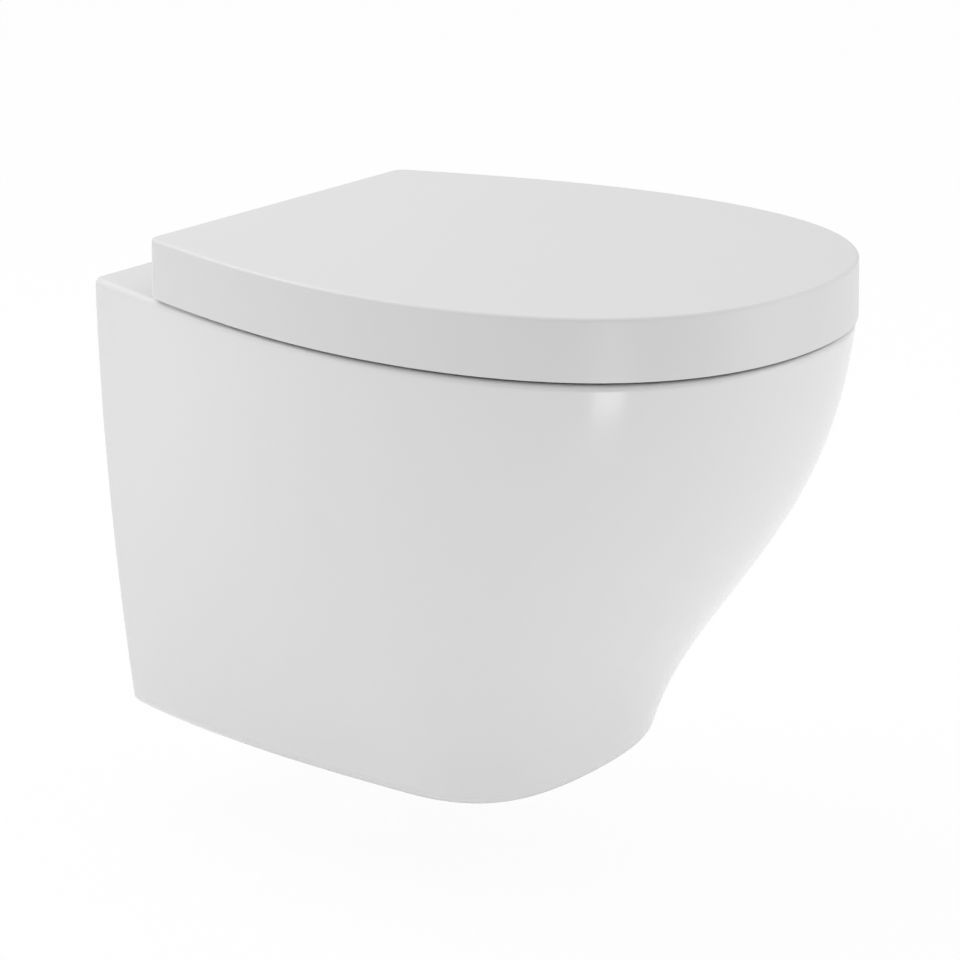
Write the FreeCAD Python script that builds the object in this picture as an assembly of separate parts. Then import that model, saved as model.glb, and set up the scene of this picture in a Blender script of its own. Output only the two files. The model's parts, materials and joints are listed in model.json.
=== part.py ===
import FreeCAD, Part
import math
import os

# Wall hung toilet with a wrap-over soft-close lid.
# Origin: middle of the two wall fixing holes, on the wall plane.
# +X to the right seen from the front, the pan reaches out along -Y, +Z up.
# "out" below is a distance from the wall, "drop" a distance below the deck.

V = FreeCAD.Vector

# pan, outside
deck_above_fixings = 80.0
pan_height = 322.0
rim_reach = 507.0          # wall to the front of the rim
rim_half_width = 184.5
rim_widest_out = 290.0     # where the rim is widest
rim_wall_half_width = 114.5
rim_roundness = 0.64       # handle length of the front curve, 0.55 is an ellipse
foot_reach = 350.0
foot_half_width = 115.0
foot_widest_out = 266.0
foot_wall_half_width = 86.0
foot_roundness = 0.73
flare_slope = 0.30         # how fast the plan widens as it leaves the wall
flare_start = 0.276        # where the flare bends, as a share of the widest point's distance
flare_end = 0.62
side_curve = 1.8           # how late the sides draw in towards the foot
front_curve = 1.3          # how late the front draws back towards the foot
front_straight = 0.3       # share of straight taper in the front line
plan_curve = 1.5           # how late the widest point and roundness change
behind_wall = 2.0          # the form runs on behind the wall and is cut flat there
pan_sections = 9
rim_edge = 3.6             # edges of the casting are cut back this far, in place of rounding
foot_edge = 5.4

# pan, bowl
bowl_rear_out = 142.0
rim_width = 43.0
bowl_lip_edge = 4.8
bowl_floor_drop = 278.0
bowl_sections = 8
bowl_curve = 1.62          # how late the bowl draws in
bowl_rear_curve = 1.3
bowl_rear_slant = 32.0     # the rear wall leans in this far, top to sump
sump_length = 54.0
sump_half_width = 27.5
egg_widest = 0.48          # widest place of an egg outline, as a share of its length
egg_roundness = 0.6

# pan, open back
china = 12.0               # wall of the casting
deck_thickness = 14.0
cavity_out = 128.0
cavity_corner = 5.0
hand_opening_half_width = 52.0
hand_opening_start = 24.0
hand_opening_end = 108.0

# water ways
inlet_drop = 45.0
inlet_bore_radius = 27.5
horn_wall = 7.5
jet_bore_radius = 20.0
jet_reach = 10.0
flush_pipe_radius = 22.5   # 45 mm flush pipe
seal_length = 24.0
diffuser_clearance = 0.2
diffuser_throat = 15.0
diffuser_gap = 6.0
diffuser_cap_radius = 27.0
diffuser_cap = 5.0
outlet_drop = 180.0
spigot_radius = 51.0
outlet_bore_radius = 42.0
spigot_length = 46.0
trap_bore_radius = 25.0
trap_wall = 9.0
weir_drop = 152.0
weir_out = 84.0
sump_drop = 250.0
sump_out = 205.0
dip_length = 55.0          # level run of the trapway under the sump
trap_bend = 44.0
trap_overlap = 16.0
trap_rise = 5.0

# wall fixings
fixing_spacing = 180.0
lug_radius = 20.0
lug_length = 62.0
block_radius = 12.0
block_collar_radius = 16.0
block_collar = 3.0
stud_hole_radius = 6.5     # for M12 studs
lock_out = 36.0
lock_radius = 4.0
lock_head_radius = 6.5
lock_head = 5.0
lock_key = 2.0
lock_clearance = 0.5
block_clearance = 0.1

# lid and seat
lid_top = 43.0             # above the deck
lid_gap = 2.0              # skirt to deck
lid_rear_out = 72.0
lid_thickness = 5.0
skirt = 4.0
lid_edge_radius = 2.6
skirt_corner_radius = 7.5
lid_corner_radius = 6.0
lid_overhang = 1.2         # skirt beyond the rim
lid_draft = 0.8
lip_half_width = 46.0
lip_height = 11.0
seat_underside = 5.0       # above the deck
seat_thickness = 21.0
seat_margin = 8.0          # inside the lid's outline
seat_rear_out = 97.5
seat_open_rear_out = 170.0
seat_open_half_width = 113.0
seat_open_margin = 58.0    # front of the seat's opening to the rim's front
seat_edge_radius = 7.0
seat_under_edge = 2.0
seat_corner_radius = 14.0
shoulder_gap = 15.0        # seat narrows here so that the lid's skirt swings past
shoulder_slope = 0.65
shoulder_bend = 0.19       # places along the seat's side, as shares of its length
shoulder_end = 0.48
buffer_radius = 8.0
buffer_edge = 1.0
buffer_front_x = 70.0
buffer_from_front = 37.0
buffer_from_side = 38.5
buffer_rear_out = 200.0
lid_boss_radius = 10.0
lid_boss_height = 5.0

# hinge
hinge_spacing = 155.0      # stud to stud, the usual distance for seats
hinge_stud_out = 110.0
pivot_behind = 14.2        # pivot in front of the lid's rear edge
pivot_height = 30.0        # above the deck
barrel_radius = 7.5
barrel_width = 17.0
hub_width = 15.0
side_gap = 0.5             # between hub, barrel and ear
pin_radius = 3.0
running_clearance = 0.05
damper_length = 12.0
damper_radius = 5.6
damper_clearance = 0.05
post_notch_gap = 1.5       # seat pocket round the post
arm_below = 4.5            # underside of the crank arm, below the pivot
column_depth = 12.0
foot_radius = 14.0
foot_height = 3.4
gasket_height = 0.8
hinge_hole_radius = 7.0
hinge_stud_radius = 4.0
pin_inset = 1.0
stud_grip = 9.0
cone_height = 10.0
cone_radius = 13.0
cone_flange = 3.0
nut_radius = 9.0
nut_height = 9.0
wing_reach = 19.0
wing_thickness = 3.0
wing_drop = 4.0
stud_below_nut = 12.0

# places that follow from the sizes above
deck = deck_above_fixings
foot = deck - pan_height
fix_x = fixing_spacing / 2
hinge_x = hinge_spacing / 2
pivot_out = lid_rear_out + pivot_behind
pivot_z = deck + pivot_height
bowl_front_out = rim_reach - rim_width
bowl_half_width = rim_half_width - rim_width
lid_inner = lid_top - lid_thickness
seat_top = seat_underside + seat_thickness


def bezier(points):
    curve = Part.BezierCurve()
    curve.setPoles(points)
    return curve.toShape()


def mirrored(point):
    return V(-point.x, point.y, point.z)


def half_curves(wall_x, wide_x, wide_out, reach, roundness, z, behind=0.0):
    """Right half of a pan outline: flare from the wall, then the round front."""
    flare_out = wide_out * flare_start
    settle_out = wide_out * flare_end
    flare = [
        V(wall_x - flare_slope * behind, behind, z),
        V(wall_x + flare_slope * flare_out, -flare_out, z),
        V(wide_x, -settle_out, z),
        V(wide_x, -wide_out, z),
    ]
    front = [
        V(wide_x, -wide_out, z),
        V(wide_x, -wide_out - roundness * (reach - wide_out), z),
        V(roundness * wide_x, -reach, z),
        V(0, -reach, z),
    ]
    return flare, front


def closed_outline(flare, front):
    """Wire from the two curves of a right half, their mirror images and a straight rear."""
    left_front = [mirrored(p) for p in reversed(front)]
    left_flare = [mirrored(p) for p in reversed(flare)]
    rear_line = Part.LineSegment(left_flare[-1], flare[0]).toShape()
    curves = [bezier(c) for c in (flare, front, left_front, left_flare)]
    return Part.Wire(curves + [rear_line])


def front_line(share):
    """Reach of the pan at a share of its height: the S of the front."""
    wave = 0.5 * (1 + math.cos(math.pi * share ** front_curve))
    fall = (1 - front_straight) * wave + front_straight * (1 - share)
    return foot_reach + (rim_reach - foot_reach) * fall


def between(top, bottom, share, curve):
    return top + (bottom - top) * share ** curve


def pan_outline(share, inset=0.0, z=None, behind=0.0):
    wall_x = between(rim_wall_half_width, foot_wall_half_width, share, side_curve)
    wide_x = between(rim_half_width, foot_half_width, share, side_curve)
    wide_out = between(rim_widest_out, foot_widest_out, share, plan_curve)
    roundness = between(rim_roundness, foot_roundness, share, plan_curve)
    level = deck - share * pan_height if z is None else z
    flare, front = half_curves(
        wall_x - inset, wide_x - inset, wide_out, front_line(share) - inset, roundness, level,
        behind)
    return closed_outline(flare, front)


def egg_wire(rear_out, reach, half_width, z):
    """Closed egg outline for the bowl and the seat's opening."""
    roundness = egg_roundness
    wide_out = rear_out + egg_widest * (reach - rear_out)
    side = V(half_width, -wide_out, z)
    front = V(0, -reach, z)
    rear = V(0, -rear_out, z)
    to_front = [
        side,
        V(half_width, -wide_out - roundness * (reach - wide_out), z),
        V(roundness * half_width, -reach, z),
        front,
    ]
    to_rear = [
        rear,
        V(roundness * half_width, -rear_out, z),
        V(half_width, -wide_out + roundness * (wide_out - rear_out), z),
        side,
    ]
    left_front = [mirrored(p) for p in reversed(to_front)]
    left_rear = [mirrored(p) for p in reversed(to_rear)]
    return Part.Wire([bezier(c) for c in (to_rear, to_front, left_front, left_rear)])


def prism(wire, height):
    return Part.Face(wire).extrude(V(0, 0, height))


def box(x0, x1, out0, out1, z0, z1):
    return Part.makeBox(x1 - x0, out1 - out0, z1 - z0, V(x0, -out1, z0))


def rod(radius, x0, x1, out, z):
    """Cylinder along X."""
    return Part.makeCylinder(radius, x1 - x0, V(x0, -out, z), V(1, 0, 0))


def peg(radius, x, out, z0, z1):
    """Cylinder along Z."""
    return Part.makeCylinder(radius, z1 - z0, V(x, -out, z0), V(0, 0, 1))


def pipe(radius, x, out0, out1, z):
    """Cylinder along Y, from one distance off the wall to another."""
    return Part.makeCylinder(radius, out1 - out0, V(x, -out0, z), V(0, -1, 0))


def edges_where(shape, test):
    return [e for e in shape.Edges if test(e.BoundBox)]


def flat_at(z):
    return lambda b: b.ZMax - b.ZMin < 0.01 and abs(b.ZMin - z) < 0.01


def save(shape, name):
    solids = shape.Solids
    clean = solids[0] if len(solids) == 1 else Part.makeCompound(solids)
    clean.exportStep("parts/" + name + ".step")
    print(name, len(solids), round(shape.Volume / 1000, 2), "cm3", shape.isValid())


# ceramic pan

def pan_body():
    """Outer form: drawn-in sides, rounded rim and foot, cut flat at the wall."""
    shares = [i / (pan_sections - 1) for i in range(pan_sections)]
    body = Part.makeLoft([pan_outline(s, behind=behind_wall) for s in shares], True, False)
    off_wall = lambda b: b.YMin < -1
    rim_edges = edges_where(body, lambda b: flat_at(deck)(b) and off_wall(b))
    body = body.makeChamfer(rim_edge, rim_edges)
    foot_edges = edges_where(body, lambda b: flat_at(foot)(b) and off_wall(b))
    body = body.makeChamfer(foot_edge, foot_edges)
    wide = rim_half_width
    return body.cut(box(-wide, wide, -2 * behind_wall, 0, foot - 1, deck + 1))


def bowl_hollow():
    """Bowl from the deck down to the sump, drawn in late and steeply."""
    sump_rear_out = bowl_rear_out + bowl_rear_slant
    wires = []
    for i in range(bowl_sections):
        share = i / (bowl_sections - 1)
        drawn = 0.5 * (1 - math.cos(math.pi * share ** bowl_curve))
        rear = between(bowl_rear_out, sump_rear_out, share, bowl_rear_curve)
        front = bowl_front_out + (sump_rear_out + sump_length - bowl_front_out) * drawn
        half_width = bowl_half_width + (sump_half_width - bowl_half_width) * drawn
        wires.append(egg_wire(rear, front, half_width, deck - share * bowl_floor_drop))
    return Part.makeLoft(wires, True, False)


def back_cavity():
    """Hollow behind the bowl, open at the wall."""
    top = deck - deck_thickness
    bottom = foot + china
    steps = 4
    shares = [deck_thickness / pan_height, 1 - china / pan_height]
    shares = [shares[0] + (shares[1] - shares[0]) * i / steps for i in range(steps + 1)]
    inner = Part.makeLoft([pan_outline(s, inset=china) for s in shares], True, False)
    reach = box(-rim_half_width, rim_half_width, -1, cavity_out, bottom, top)
    cavity = inner.common(reach)
    front_edges = edges_where(
        cavity, lambda b: b.YMax - b.YMin < 0.01 and abs(b.YMin + cavity_out) < 0.01)
    return cavity.makeChamfer(cavity_corner, front_edges)


def rounded_path(spots, radius):
    """Straight runs joined by arcs, through corner points in the middle plane."""
    pieces = []
    start = spots[0]
    for i in range(1, len(spots) - 1):
        back = (spots[i - 1] - spots[i]).normalize()
        ahead = (spots[i + 1] - spots[i]).normalize()
        half = back.getAngle(ahead) / 2
        trim = radius / math.tan(half)
        enter = spots[i] + back * trim
        leave = spots[i] + ahead * trim
        middle = (back + ahead).normalize()
        crown = spots[i] + middle * (radius / math.sin(half) - radius)
        pieces.append(Part.LineSegment(start, enter).toShape())
        pieces.append(Part.Arc(enter, crown, leave).toShape())
        start = leave
    pieces.append(Part.LineSegment(start, spots[-1]).toShape())
    return Part.Wire(pieces)


def trap_tube(radius):
    """Trapway from the outlet over the weir and down to the sump."""
    start = V(0, -(spigot_length - trap_overlap), deck - outlet_drop + trap_rise)
    weir = V(0, -weir_out, deck - weir_drop)
    dip = V(0, -(sump_out - dip_length), deck - sump_drop)
    sump = V(0, -sump_out, deck - sump_drop)
    path = rounded_path([start, weir, dip, sump], trap_bend)
    ring = Part.Wire([Part.makeCircle(radius, start, weir - start)])
    return path.makePipeShell([ring], True, False)


def ceramic_pan():
    z_in = deck - inlet_drop
    z_out = deck - outlet_drop
    solid = pan_body().cut(back_cavity())
    solid = solid.fuse(pipe(inlet_bore_radius + horn_wall, 0, 0, cavity_out + 2, z_in))
    solid = solid.fuse([pipe(lug_radius, s * fix_x, 0, lug_length, 0) for s in (-1, 1)])
    spigot = pipe(spigot_radius, 0, 0, spigot_length, z_out)
    solid = solid.fuse(trap_tube(trap_bore_radius + trap_wall).fuse(spigot))
    solid = solid.cut(bowl_hollow()).cut(trap_tube(trap_bore_radius))
    lip = edges_where(solid, lambda b: flat_at(deck)(b) and b.YMax < -bowl_rear_out + 1
                      and b.YMin > -bowl_front_out - 1 and abs(b.XMin) < bowl_half_width + 1)
    solid = solid.makeChamfer(bowl_lip_edge, lip)
    throat = cavity_out - china
    cuts = [
        pipe(inlet_bore_radius, 0, -1, throat, z_in),
        pipe(jet_bore_radius, 0, throat - 1, bowl_rear_out + jet_reach, z_in),
        pipe(outlet_bore_radius, 0, -1, spigot_length - trap_wall, z_out),
        box(-hand_opening_half_width, hand_opening_half_width,
            hand_opening_start, hand_opening_end, foot - 1, foot + china + 1),
    ]
    for s in (-1, 1):
        cuts.append(peg(hinge_hole_radius, s * hinge_x, hinge_stud_out,
                        deck - deck_thickness - 1, deck + 1))
        cuts.append(pipe(block_radius, s * fix_x, -1, lug_length + 1, 0))
        cuts.append(pipe(block_collar_radius, s * fix_x, -1, block_collar, 0))
        x0, x1 = sorted((s * (fix_x - lug_radius - 1), s * fix_x))
        cuts.append(rod(lock_radius + lock_clearance, x0, x1, lock_out, 0))
    return solid.cut(cuts)


# pieces fixed to the pan

def flush_diffuser():
    z_in = deck - inlet_drop
    start = cavity_out - china + 4
    collar_end = bowl_rear_out + 1
    cap_start = collar_end + diffuser_gap
    shape = pipe(jet_bore_radius - diffuser_clearance, 0, start, collar_end, z_in)
    shape = shape.cut(pipe(diffuser_throat, 0, start - 1, collar_end + 1, z_in))
    cap = pipe(diffuser_cap_radius, 0, cap_start, cap_start + diffuser_cap, z_in)
    cap = cap.makeChamfer(diffuser_cap / 3, edges_where(
        cap, lambda b: b.YMax - b.YMin < 0.01))
    ribs = []
    for i in range(3):
        rib = box(-1.5, 1.5, start + 2, cap_start + 1, z_in, z_in + jet_bore_radius - 2)
        rib.rotate(V(0, 0, z_in), V(0, 1, 0), 120 * i)
        ribs.append(rib)
    return shape.fuse([cap] + ribs)


def inlet_seal():
    """Rubber sleeve with two lips, for a 45 mm flush pipe."""
    z_in = deck - inlet_drop
    body = pipe(inlet_bore_radius, 0, 0, seal_length, z_in)
    return body.cut(pipe(flush_pipe_radius, 0, -1, seal_length + 1, z_in))


def anchor_block(side):
    x = side * fix_x
    block = pipe(block_radius - block_clearance, x, block_collar - 0.5, lug_length, 0)
    collar = pipe(block_collar_radius - block_clearance, x, 0, block_collar, 0)
    block = block.fuse(collar)
    block = block.cut(pipe(stud_hole_radius, x, -1, lug_length + 1, 0))
    x0, x1 = sorted((side * (fix_x - block_radius - 1), x))
    return block.cut(rod(lock_radius + running_clearance, x0, x1, lock_out, 0))


def locking_screw(side):
    tip = fix_x - stud_hole_radius
    seat_x = fix_x - lug_radius
    x0, x1 = sorted((side * (seat_x - 0.5), side * tip))
    shank = rod(lock_radius, x0, x1, lock_out, 0)
    x0, x1 = sorted((side * (seat_x - lock_head), side * seat_x))
    head = rod(lock_head_radius, x0, x1, lock_out, 0)
    x0, x1 = sorted((side * (seat_x - lock_head - 1), side * (seat_x - lock_head / 2)))
    key = box(x0, x1, lock_out - lock_key, lock_out + lock_key, -lock_key, lock_key)
    return shank.fuse(head).cut(key)


# hinge, one set each side

def post_span(side):
    return sorted((side * (hinge_x - barrel_width / 2), side * (hinge_x + barrel_width / 2)))


def hub_span(side):
    outer = hinge_x - barrel_width / 2 - side_gap
    return sorted((side * (outer - hub_width), side * outer))


def ear_span(side):
    inner = hinge_x + barrel_width / 2 + side_gap
    return sorted((side * inner, side * (inner + hub_width)))


def hinge_post(side):
    """Foot, column, crank arm and barrel, cast in one."""
    x0, x1 = post_span(side)
    top = pivot_z + barrel_radius
    front = hinge_stud_out + column_depth / 2
    base = deck + gasket_height
    column = box(x0, x1, front - column_depth, front, base + foot_height - 1, top)
    arm = box(x0, x1, pivot_out, front - 1, pivot_z - arm_below, top)
    shape = column.fuse(arm)
    shape = shape.fuse(rod(barrel_radius, x0, x1, pivot_out, pivot_z)).removeSplitter()
    crown = edges_where(shape, lambda b: flat_at(top)(b) and abs(b.YMin + front) < 0.01
                        and b.YMax - b.YMin < 0.01)
    shape = shape.makeFillet(column_depth / 2, crown)
    foot_disc = peg(foot_radius, side * hinge_x, hinge_stud_out, base, base + foot_height)
    rim = edges_where(foot_disc, flat_at(base + foot_height))
    foot_disc = foot_disc.makeChamfer(foot_height / 3, rim)
    shape = shape.fuse(foot_disc)
    shape = shape.cut(rod(pin_radius + running_clearance, x0 - 1, x1 + 1, pivot_out, pivot_z))
    return shape.cut(peg(hinge_stud_radius + running_clearance, side * hinge_x,
                         hinge_stud_out, base - 1, base + stud_grip))


def ring(outer, inner, x, out, z0, z1):
    return peg(outer, x, out, z0, z1).cut(peg(inner, x, out, z0 - 1, z1 + 1))


def foot_gasket(side):
    return ring(foot_radius, hinge_hole_radius, side * hinge_x, hinge_stud_out,
                deck, deck + gasket_height)


def hinge_stud(side):
    under = deck - deck_thickness
    bottom = under - cone_flange - nut_height - stud_below_nut
    return peg(hinge_stud_radius, side * hinge_x, hinge_stud_out,
               bottom, deck + gasket_height + stud_grip)


def cone_washer(side):
    """Tapered plug that centres the stud in the deck's hole."""
    under = deck - deck_thickness
    x = side * hinge_x
    plug = Part.makeCone(hinge_hole_radius - 0.2, hinge_hole_radius - 1.5, cone_height,
                         V(x, -hinge_stud_out, under))
    flange = peg(cone_radius, x, hinge_stud_out, under - cone_flange, under)
    hole = peg(hinge_stud_radius + running_clearance, x, hinge_stud_out,
               under - cone_flange - 1, under + cone_height + 1)
    return plug.fuse(flange).cut(hole)


def wing_nut(side):
    x = side * hinge_x
    top = deck - deck_thickness - cone_flange
    hub = Part.makeCone(nut_radius, nut_radius - 2, nut_height,
                        V(x, -hinge_stud_out, top), V(0, 0, -1))
    wings = box(x - wing_reach, x + wing_reach, hinge_stud_out - wing_thickness / 2,
                hinge_stud_out + wing_thickness / 2, top - nut_height - wing_drop, top - 2)
    tips = edges_where(wings, lambda b: b.ZMax - b.ZMin < 0.01 and b.XMax - b.XMin < 0.01
                       and b.ZMin < top - 3)
    wings = wings.makeFillet(wing_reach / 3, tips)
    bore = peg(hinge_stud_radius + running_clearance, x, hinge_stud_out,
               top - nut_height - wing_drop - 1, top + 1)
    return hub.fuse(wings).cut(bore)


def hinge_pin(side):
    ear_far = max(abs(x) for x in ear_span(side))
    hub_near = min(abs(x) for x in hub_span(side))
    x0, x1 = sorted((side * (hub_near + pin_inset), side * (ear_far - pin_inset)))
    return rod(pin_radius, x0, x1, pivot_out, pivot_z)


def damper_span(side, span, outward):
    """The damper fills the far part of a hub, away from the post."""
    near, far = sorted(abs(x) for x in span)
    if outward:
        near = far - damper_length
    else:
        far = near + damper_length
    return sorted((side * near, side * far))


def damper(side, span, outward):
    x0, x1 = damper_span(side, span, outward)
    body = rod(damper_radius, x0, x1, pivot_out, pivot_z)
    return body.cut(rod(pin_radius + running_clearance, x0 - 1, x1 + 1, pivot_out, pivot_z))


def bore_hub(shape, side, span, outward):
    """Pin hole through a hub and the pocket for its damper."""
    x0, x1 = span
    shape = shape.cut(rod(pin_radius + running_clearance, x0 - 1, x1 + 1, pivot_out, pivot_z))
    d0, d1 = damper_span(side, span, outward)
    mouth = 1 if (side > 0) == outward else 0
    return shape.cut(rod(damper_radius + damper_clearance, d0 - 1 + mouth, d1 + mouth,
                         pivot_out, pivot_z))


# seat

def seat_outline(z):
    """The lid's round front, with shoulders that leave room for the lid's skirt."""
    wide_x = rim_half_width - seat_margin
    reach = rim_reach - seat_margin
    front = half_curves(0, wide_x, rim_widest_out, reach, rim_roundness, z)[1]
    rear_x = lid_rear_half_width() - skirt - shoulder_gap
    length = rim_widest_out - seat_rear_out
    bend = shoulder_bend * length
    flare = [
        V(rear_x, -seat_rear_out, z),
        V(rear_x + shoulder_slope * bend, -seat_rear_out - bend, z),
        V(wide_x, -seat_rear_out - shoulder_end * length, z),
        V(wide_x, -rim_widest_out, z),
    ]
    return closed_outline(flare, front)


def seat_ring():
    z0 = deck + seat_underside
    z1 = deck + seat_top
    plate = prism(seat_outline(z0), seat_thickness)
    corners = edges_where(plate, lambda b: b.ZMax - b.ZMin > seat_thickness - 0.1
                          and b.YMin > -seat_rear_out - 1)
    plate = plate.makeFillet(seat_corner_radius, corners)
    plate = plate.cut(prism(
        egg_wire(seat_open_rear_out, rim_reach - seat_open_margin, seat_open_half_width, z0 - 1),
        seat_thickness + 2))
    plate = plate.makeFillet(seat_edge_radius, edges_where(plate, flat_at(z1)))
    plate = plate.makeChamfer(seat_under_edge, edges_where(plate, flat_at(z0)))
    for s in (-1, 1):
        x0, x1 = post_span(s)
        notch_end = hinge_stud_out + column_depth / 2 + post_notch_gap
        n0 = x0 - side_gap if s > 0 else x0 - post_notch_gap
        n1 = x1 + post_notch_gap if s > 0 else x1 + side_gap
        plate = plate.cut(box(n0, n1, seat_rear_out - 1, notch_end, z0 - 1, z1 + 1))
    for s in (-1, 1):
        x0, x1 = hub_span(s)
        side_line = Part.makePolygon([
            V(x0, -pivot_out, pivot_z - barrel_radius),
            V(x0, -seat_rear_out - 2, z0 + seat_under_edge),
            V(x0, -seat_rear_out - 2 * seat_edge_radius, z1 - 1),
            V(x0, -pivot_out - 3, pivot_z + barrel_radius * 0.9),
            V(x0, -pivot_out, pivot_z - barrel_radius),
        ])
        arm = Part.Face(side_line).extrude(V(x1 - x0, 0, 0))
        plate = plate.fuse([arm, rod(barrel_radius, x0, x1, pivot_out, pivot_z)])
        plate = bore_hub(plate, s, (x0, x1), False)
    return plate


def buffer_spots():
    """Name, x and out of the four rubber feet of the seat and of the lid."""
    rear_x = rim_half_width - buffer_from_side
    front_out = rim_reach - buffer_from_front
    return [
        ("front_left", -buffer_front_x, front_out),
        ("front_right", buffer_front_x, front_out),
        ("rear_left", -rear_x, buffer_rear_out),
        ("rear_right", rear_x, buffer_rear_out),
    ]


def buffer(x, out, z0, z1):
    pad = peg(buffer_radius, x, out, z0, z1)
    return pad.makeChamfer(buffer_edge, edges_where(pad, flat_at(z0)))


# lid

def lid_block(inset, z0, z1, rear):
    """Solid lid form, a little wider below than on top."""
    low = pan_outline(0, inset=inset - lid_overhang, z=z0)
    high = pan_outline(0, inset=inset - lid_overhang + lid_draft, z=z1)
    block = Part.makeLoft([low, high], True, True)
    wide = rim_half_width + lid_overhang + 1
    block = block.cut(box(-wide, wide, -1, rear, z0 - 1, z1 + 1))
    corners = edges_where(block, lambda b: b.ZMax - b.ZMin > z1 - z0 - 0.1
                          and abs(b.YMin + rear) < 0.5)
    return block.makeFillet(lid_corner_radius - inset / 2, corners)


def lid_shell():
    z0 = deck + lid_gap
    z1 = deck + lid_top
    inner_z = deck + lid_inner
    shell = lid_block(0, z0, z1, lid_rear_out)
    shell = shell.makeFillet(lid_edge_radius, edges_where(shell, flat_at(z1)))
    shell = shell.cut(lid_block(skirt, z0 - 1, inner_z, lid_rear_out + skirt))
    rear_in = lid_rear_out + skirt + 1
    side_free = lid_rear_half_width() - lid_corner_radius
    for x0, x1 in ((-side_free, -lip_half_width), (lip_half_width, side_free)):
        shell = shell.cut(box(x0, x1, lid_rear_out - 1, rear_in, z0 - 1, inner_z))
    shell = shell.cut(box(-lip_half_width - 1, lip_half_width + 1, lid_rear_out - 1, rear_in,
                          z0 - 1, z1 - lip_height))
    # lower rear corners of the side skirts, rounded so that they swing clear of the deck
    far = lid_rear_out + skirt_corner_radius
    reach = rim_half_width + 5
    corner = box(-reach, reach, lid_rear_out - 1, far, z0 - 1, z0 + skirt_corner_radius)
    corner = corner.cut(rod(skirt_corner_radius, -reach - 1, reach + 1, far,
                            z0 + skirt_corner_radius))
    shell = shell.cut(corner)
    for s in (-1, 1):
        x0, x1 = ear_span(s)
        web = box(x0, x1, pivot_out - barrel_radius, pivot_out + barrel_radius,
                  pivot_z, inner_z + 1)
        shell = shell.fuse([web, rod(barrel_radius, x0, x1, pivot_out, pivot_z)])
        shell = bore_hub(shell, s, (x0, x1), True)
    for name, x, out in buffer_spots():
        shell = shell.fuse(peg(lid_boss_radius, x, out, inner_z - lid_boss_height, inner_z + 1))
    return shell


def lid_rear_half_width():
    flare = half_curves(rim_wall_half_width, rim_half_width, rim_widest_out,
                        rim_reach, rim_roundness, 0)[0]
    curve = Part.BezierCurve()
    curve.setPoles(flare)
    cut = Part.Line(V(0, -lid_rear_out, 0), V(1, -lid_rear_out, 0))
    return curve.intersectCC(cut)[0].X + lid_overhang


os.makedirs("parts", exist_ok=True)

save(ceramic_pan(), "ceramic_pan")
save(flush_diffuser(), "flush_diffuser")
save(inlet_seal(), "inlet_seal")
save(seat_ring(), "seat_ring")
save(lid_shell(), "lid_shell")

for side, word in ((-1, "left"), (1, "right")):
    save(anchor_block(side), "anchor_block_" + word)
    save(locking_screw(side), "locking_screw_" + word)
    save(hinge_post(side), "hinge_post_" + word)
    save(foot_gasket(side), "foot_gasket_" + word)
    save(hinge_stud(side), "hinge_stud_" + word)
    save(cone_washer(side), "cone_washer_" + word)
    save(wing_nut(side), "wing_nut_" + word)
    save(hinge_pin(side), "hinge_pin_" + word)
    save(damper(side, hub_span(side), False), "seat_damper_" + word)
    save(damper(side, ear_span(side), True), "lid_damper_" + word)

for name, x, out in buffer_spots():
    save(buffer(x, out, deck, deck + seat_underside), "seat_buffer_" + name)
    save(buffer(x, out, deck + seat_top, deck + lid_inner - lid_boss_height),
         "lid_buffer_" + name)
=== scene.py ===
import json
import math

import bmesh
import bpy
from mathutils import Matrix, Vector


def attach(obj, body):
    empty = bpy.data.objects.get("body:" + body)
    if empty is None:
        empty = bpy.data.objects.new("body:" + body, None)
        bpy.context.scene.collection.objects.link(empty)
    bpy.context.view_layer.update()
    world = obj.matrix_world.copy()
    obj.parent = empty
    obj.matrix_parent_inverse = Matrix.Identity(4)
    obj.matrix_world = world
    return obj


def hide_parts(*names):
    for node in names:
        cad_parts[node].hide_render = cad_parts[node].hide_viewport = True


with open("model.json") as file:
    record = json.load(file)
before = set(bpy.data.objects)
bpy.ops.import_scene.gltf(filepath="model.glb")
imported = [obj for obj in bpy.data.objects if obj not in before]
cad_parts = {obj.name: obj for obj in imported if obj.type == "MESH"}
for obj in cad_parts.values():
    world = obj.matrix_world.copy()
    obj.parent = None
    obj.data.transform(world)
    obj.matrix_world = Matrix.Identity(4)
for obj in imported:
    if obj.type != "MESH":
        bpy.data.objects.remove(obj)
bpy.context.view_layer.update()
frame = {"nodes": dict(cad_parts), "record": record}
bpy.context.scene.view_settings.view_transform = "Standard"
print("frame loaded")

# All lengths below are millimetres: x to the right, out from the wall, z up from the fixings.
mm = 0.001


# camera, air and floor of the studio
studio = {
    "azimuth": -54.248,       # degrees, from straight in front towards the left side
    "elevation": 16.908,
    "distance": 2.5,          # metres, lens to the aim point
    "lens": 131.25,           # mm
    "sensor": 36,
    "seesTo": 60,             # metres
    "aim": (0.0706, -0.1957, -0.0767),
    "lampAim": (0, -0.25, 0),
    "floorLevel": -0.320,     # the rim hangs 400 mm above the floor
    "floorSize": 9.0,
    "backdrop": 1.0,          # what the camera sees behind the object
    "air": 0.50,              # even light from all round
    "skyGlow": [              # towards, sharpness, how much brighter or darker than the even air
        ((0, 0, 1), 1, 0.50),
        ((-0.60, 0.80, 0.10), 3, 0.36),
        ((0.75, -0.65, 0.10), 3, 0.46),
        ((-0.81, -0.58, 0.15), 2, -0.28),
        ((-0.81, -0.58, 0.10), 8, -0.20),
    ],
    "floorTone": 0.97,
    "shadowShare": 0.08,      # how much of the floor's shadow is seen
}
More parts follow.
